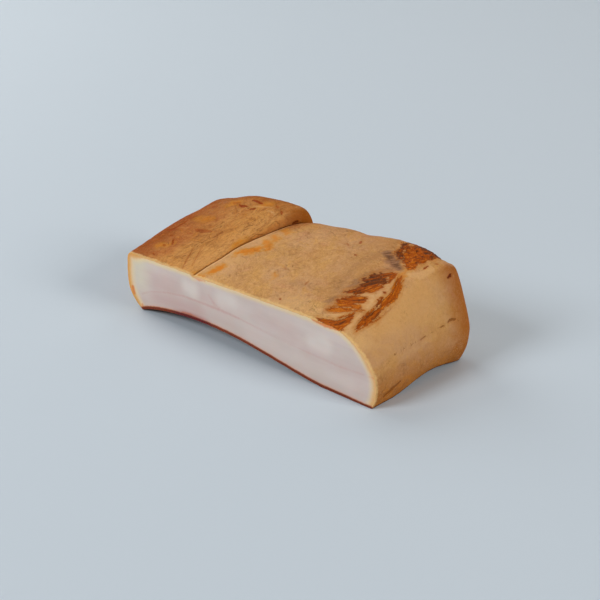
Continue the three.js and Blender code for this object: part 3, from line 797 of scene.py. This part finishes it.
def cut_fat():
    """The fresh cut: white fat with pink layers, a cream rim under the smoked skin, and the rind's dark edge."""
    s = Shader("cut_fat")
    mm = s.mm
    x, z = s.axis(mm, "X"), s.axis(mm, "Z")
    cloud = s.noise(s.stretched(mm, 0.03, 1.0, 0.09), 1.0, 3.0)
    fine = s.noise(mm, 0.5, 3.0)
    layer = s.noise(s.stretched(mm, 0.012, 1.0, 0.22), 1.0, 3.0, 0.5, 0.4)
    bright = 0.69
    colour = s.mix(s.rise(cloud, 0.35, 0.7), paint(197, 182, 174, bright), paint(190, 174, 165, bright))
    colour = s.mix(s.rise(layer, 0.45, 0.75) * 0.35, colour, paint(188, 165, 157, bright))
    lower = s.rise(s.painted("to_rind") + (cloud - 0.5) * 12, 16, 4)
    colour = s.mix(lower * 0.45, colour, paint(184, 162, 152, bright))
    colour = s.mix(s.painted("blush") * 0.75, colour, paint(182, 148, 142, bright))
    colour = s.mix(s.painted("milk") * 0.75, colour, paint(207, 196, 187, bright))
    strata = s.rise(s.painted("strata") + (fine - 0.5) * 0.5, 0.1, 1.0)
    colour = s.mix(strata * 0.8, colour, paint(184, 144, 134, bright))
    colour = s.mix(s.painted("yellow") * 0.6, colour, paint(204, 198, 168, bright))
    ragged = (fine - 0.5) * 1.1 + (cloud - 0.5) * 1.6
    skin_gap = s.painted("to_skin") + ragged
    left = s.rise(x, -86, -101)
    right = s.rise(x, 70, 96)
    wide = 3.8 + left * 4.6 + right * 1.8
    cream = s.rise(skin_gap / wide, 1.15, 0.15)
    colour = s.mix(cream * 0.90, colour, paint(219, 192, 146, bright))
    crust = s.rise(skin_gap / wide, 0.30 + left * 0.35 + right * 0.50, 0.04)
    colour = s.mix(crust * (0.68 + left * 0.27), colour, paint(203, 142, 66, bright))
    rust = s.rise(s.painted("rust") + (fine - 0.5) * 0.6, 0.2, 0.9)
    colour = s.mix(rust * 0.8, colour, paint(202, 108, 34, bright))
    gap = s.painted("to_rind") + (fine - 0.5) * 0.5 + s.rise(x, 60, 95) * 0.5
    colour = s.mix(s.rise(gap, 4.2, 1.9) * 0.30, colour, paint(196, 140, 112, bright))
    colour = s.mix(s.rise(gap, 2.6, 1.9) * 0.85, colour, paint(168, 92, 40, bright))
    colour = s.mix(s.rise(gap, 5.5, 2.0) * s.rise(abs(x + 48), 20, 6) * 0.5, colour, paint(150, 84, 84, bright))
    plum = s.mix(s.rise(abs(x + 48), 24, 8), paint(112, 40, 10, bright), paint(88, 8, 8, bright))
    colour = s.mix(s.rise(gap, 2.0, 1.5), colour, plum)
    height = layer * 0.6 + fine * 0.2 + s.rise(gap, 2.0, 1.5) * 0.5
    return s.finish(colour, 0.40 + (fine - 0.5) * 0.15, height, 0.3, **{
        "Specular IOR Level": 0.3, "Subsurface Weight": 0.35, "Subsurface Radius": (1.0, 0.45, 0.3),
        "Subsurface Scale": 0.006})


def dark_rind():
    """The leathery rind underneath: dark red-brown with pores."""
    s = Shader("dark_rind")
    mm = s.mm
    cloud = s.noise(mm, 0.05, 4.0, 0.6)
    fine = s.noise(mm, 0.5, 4.0, 0.6)
    pores = s.add("ShaderNodeTexVoronoi", {"feature": "F1"}, {"Vector": mm, "Scale": 0.55, "Randomness": 0.9})
    pit = s.rise(pores, 0.28, 0.12)
    colour = s.mix(s.rise(cloud, 0.35, 0.7), paint(96, 46, 24), paint(140, 78, 34))
    colour = s.mix(s.rise(fine, 0.4, 0.8) * 0.5, colour, paint(160, 98, 46))
    colour = s.mix(pit * 0.7, colour, paint(60, 26, 14))
    hairlines = s.lines(s.stretched(mm, 0.16, 0.16, 0.16), 0.014)
    colour = s.mix(hairlines * 0.4, colour, paint(66, 30, 16))
    height = fine * 0.5 - pit * 0.8 - hairlines * 0.5 + cloud * 0.5
    return s.finish(colour, 0.45 + (fine - 0.5) * 0.3, height, 0.4, **{"Specular IOR Level": 0.45})


def floor_paper():
    """Pale seamless studio paper."""
    s = Shader("floor_paper")
    return s.finish(paint(192, 204, 213), 0.65, s.noise(s.mm, 0.02, 1.0), 0.01, **{"Specular IOR Level": 0.3})


def shown(name, shape):
    """An object in the scene for a mesh, light or camera."""
    made = bpy.data.objects.new(name, shape)
    bpy.context.scene.collection.objects.link(made)
    return made


surface = slab_surface()
for material in (smoked_skin(), cut_fat(), dark_rind()):
    surface.materials.append(material)
slab = shown("smoked_slab", surface)
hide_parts("bacon_slab")
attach(slab, "root")

sheet = bmesh.new()
bmesh.ops.create_grid(sheet, x_segments=1, y_segments=1, size=FLOOR_HALF_WIDTH)
floor_shape = bpy.data.meshes.new("floor")
sheet.to_mesh(floor_shape)
sheet.free()
floor_shape.materials.append(floor_paper())
floor = shown("floor", floor_shape)

world = bpy.data.worlds.new("studio")
bpy.context.scene.world = world
world.use_nodes = True
world.node_tree.nodes["Background"].inputs["Color"].default_value = (1, 1, 1, 1)
world.node_tree.nodes["Background"].inputs["Strength"].default_value = ROOM_LIGHT


def softbox(name, toward, distance, size, power, colour):
    """A square soft light that looks at the slab from a given direction."""
    lamp = bpy.data.lights.new(name, "AREA")
    lamp.shape = "SQUARE"
    lamp.size = size
    lamp.energy = power
    lamp.color = colour
    light = shown(name, lamp)
    away = Vector(toward).normalized()
    light.location = away * distance
    light.rotation_mode = "QUATERNION"
    light.rotation_quaternion = away.to_track_quat("Z", "Y")


softbox("left_softbox", (-33, -78, 60), distance=3.0, size=1.1, power=41, colour=(0.98, 1.0, 1.03))
softbox("right_softbox", (85, 15, 48), distance=2.2, size=0.8, power=19, colour=(1.06, 0.99, 0.94))
softbox("far_softbox", (-100, 15, 75), distance=1.5, size=1.0, power=6.8, colour=(1.04, 0.99, 0.95))
softbox("back_softbox", (-30, 100, 60), distance=1.8, size=1.2, power=4, colour=(1.04, 0.99, 0.95))

camera_data = bpy.data.cameras.new("camera")
camera_data.lens = LENS_MM
camera_data.sensor_width = SENSOR_MM
camera = shown("camera", camera_data)
back = Vector((math.sin(CAMERA_AZIMUTH) * math.cos(CAMERA_ELEVATION),
               -math.cos(CAMERA_AZIMUTH) * math.cos(CAMERA_ELEVATION), math.sin(CAMERA_ELEVATION)))
camera.location = LOOK_AT + back * CAMERA_DISTANCE
camera.rotation_mode = "QUATERNION"
camera.rotation_quaternion = back.to_track_quat("Z", "Y")
bpy.context.scene.camera = camera
bpy.context.scene.view_settings.view_transform = "Standard"
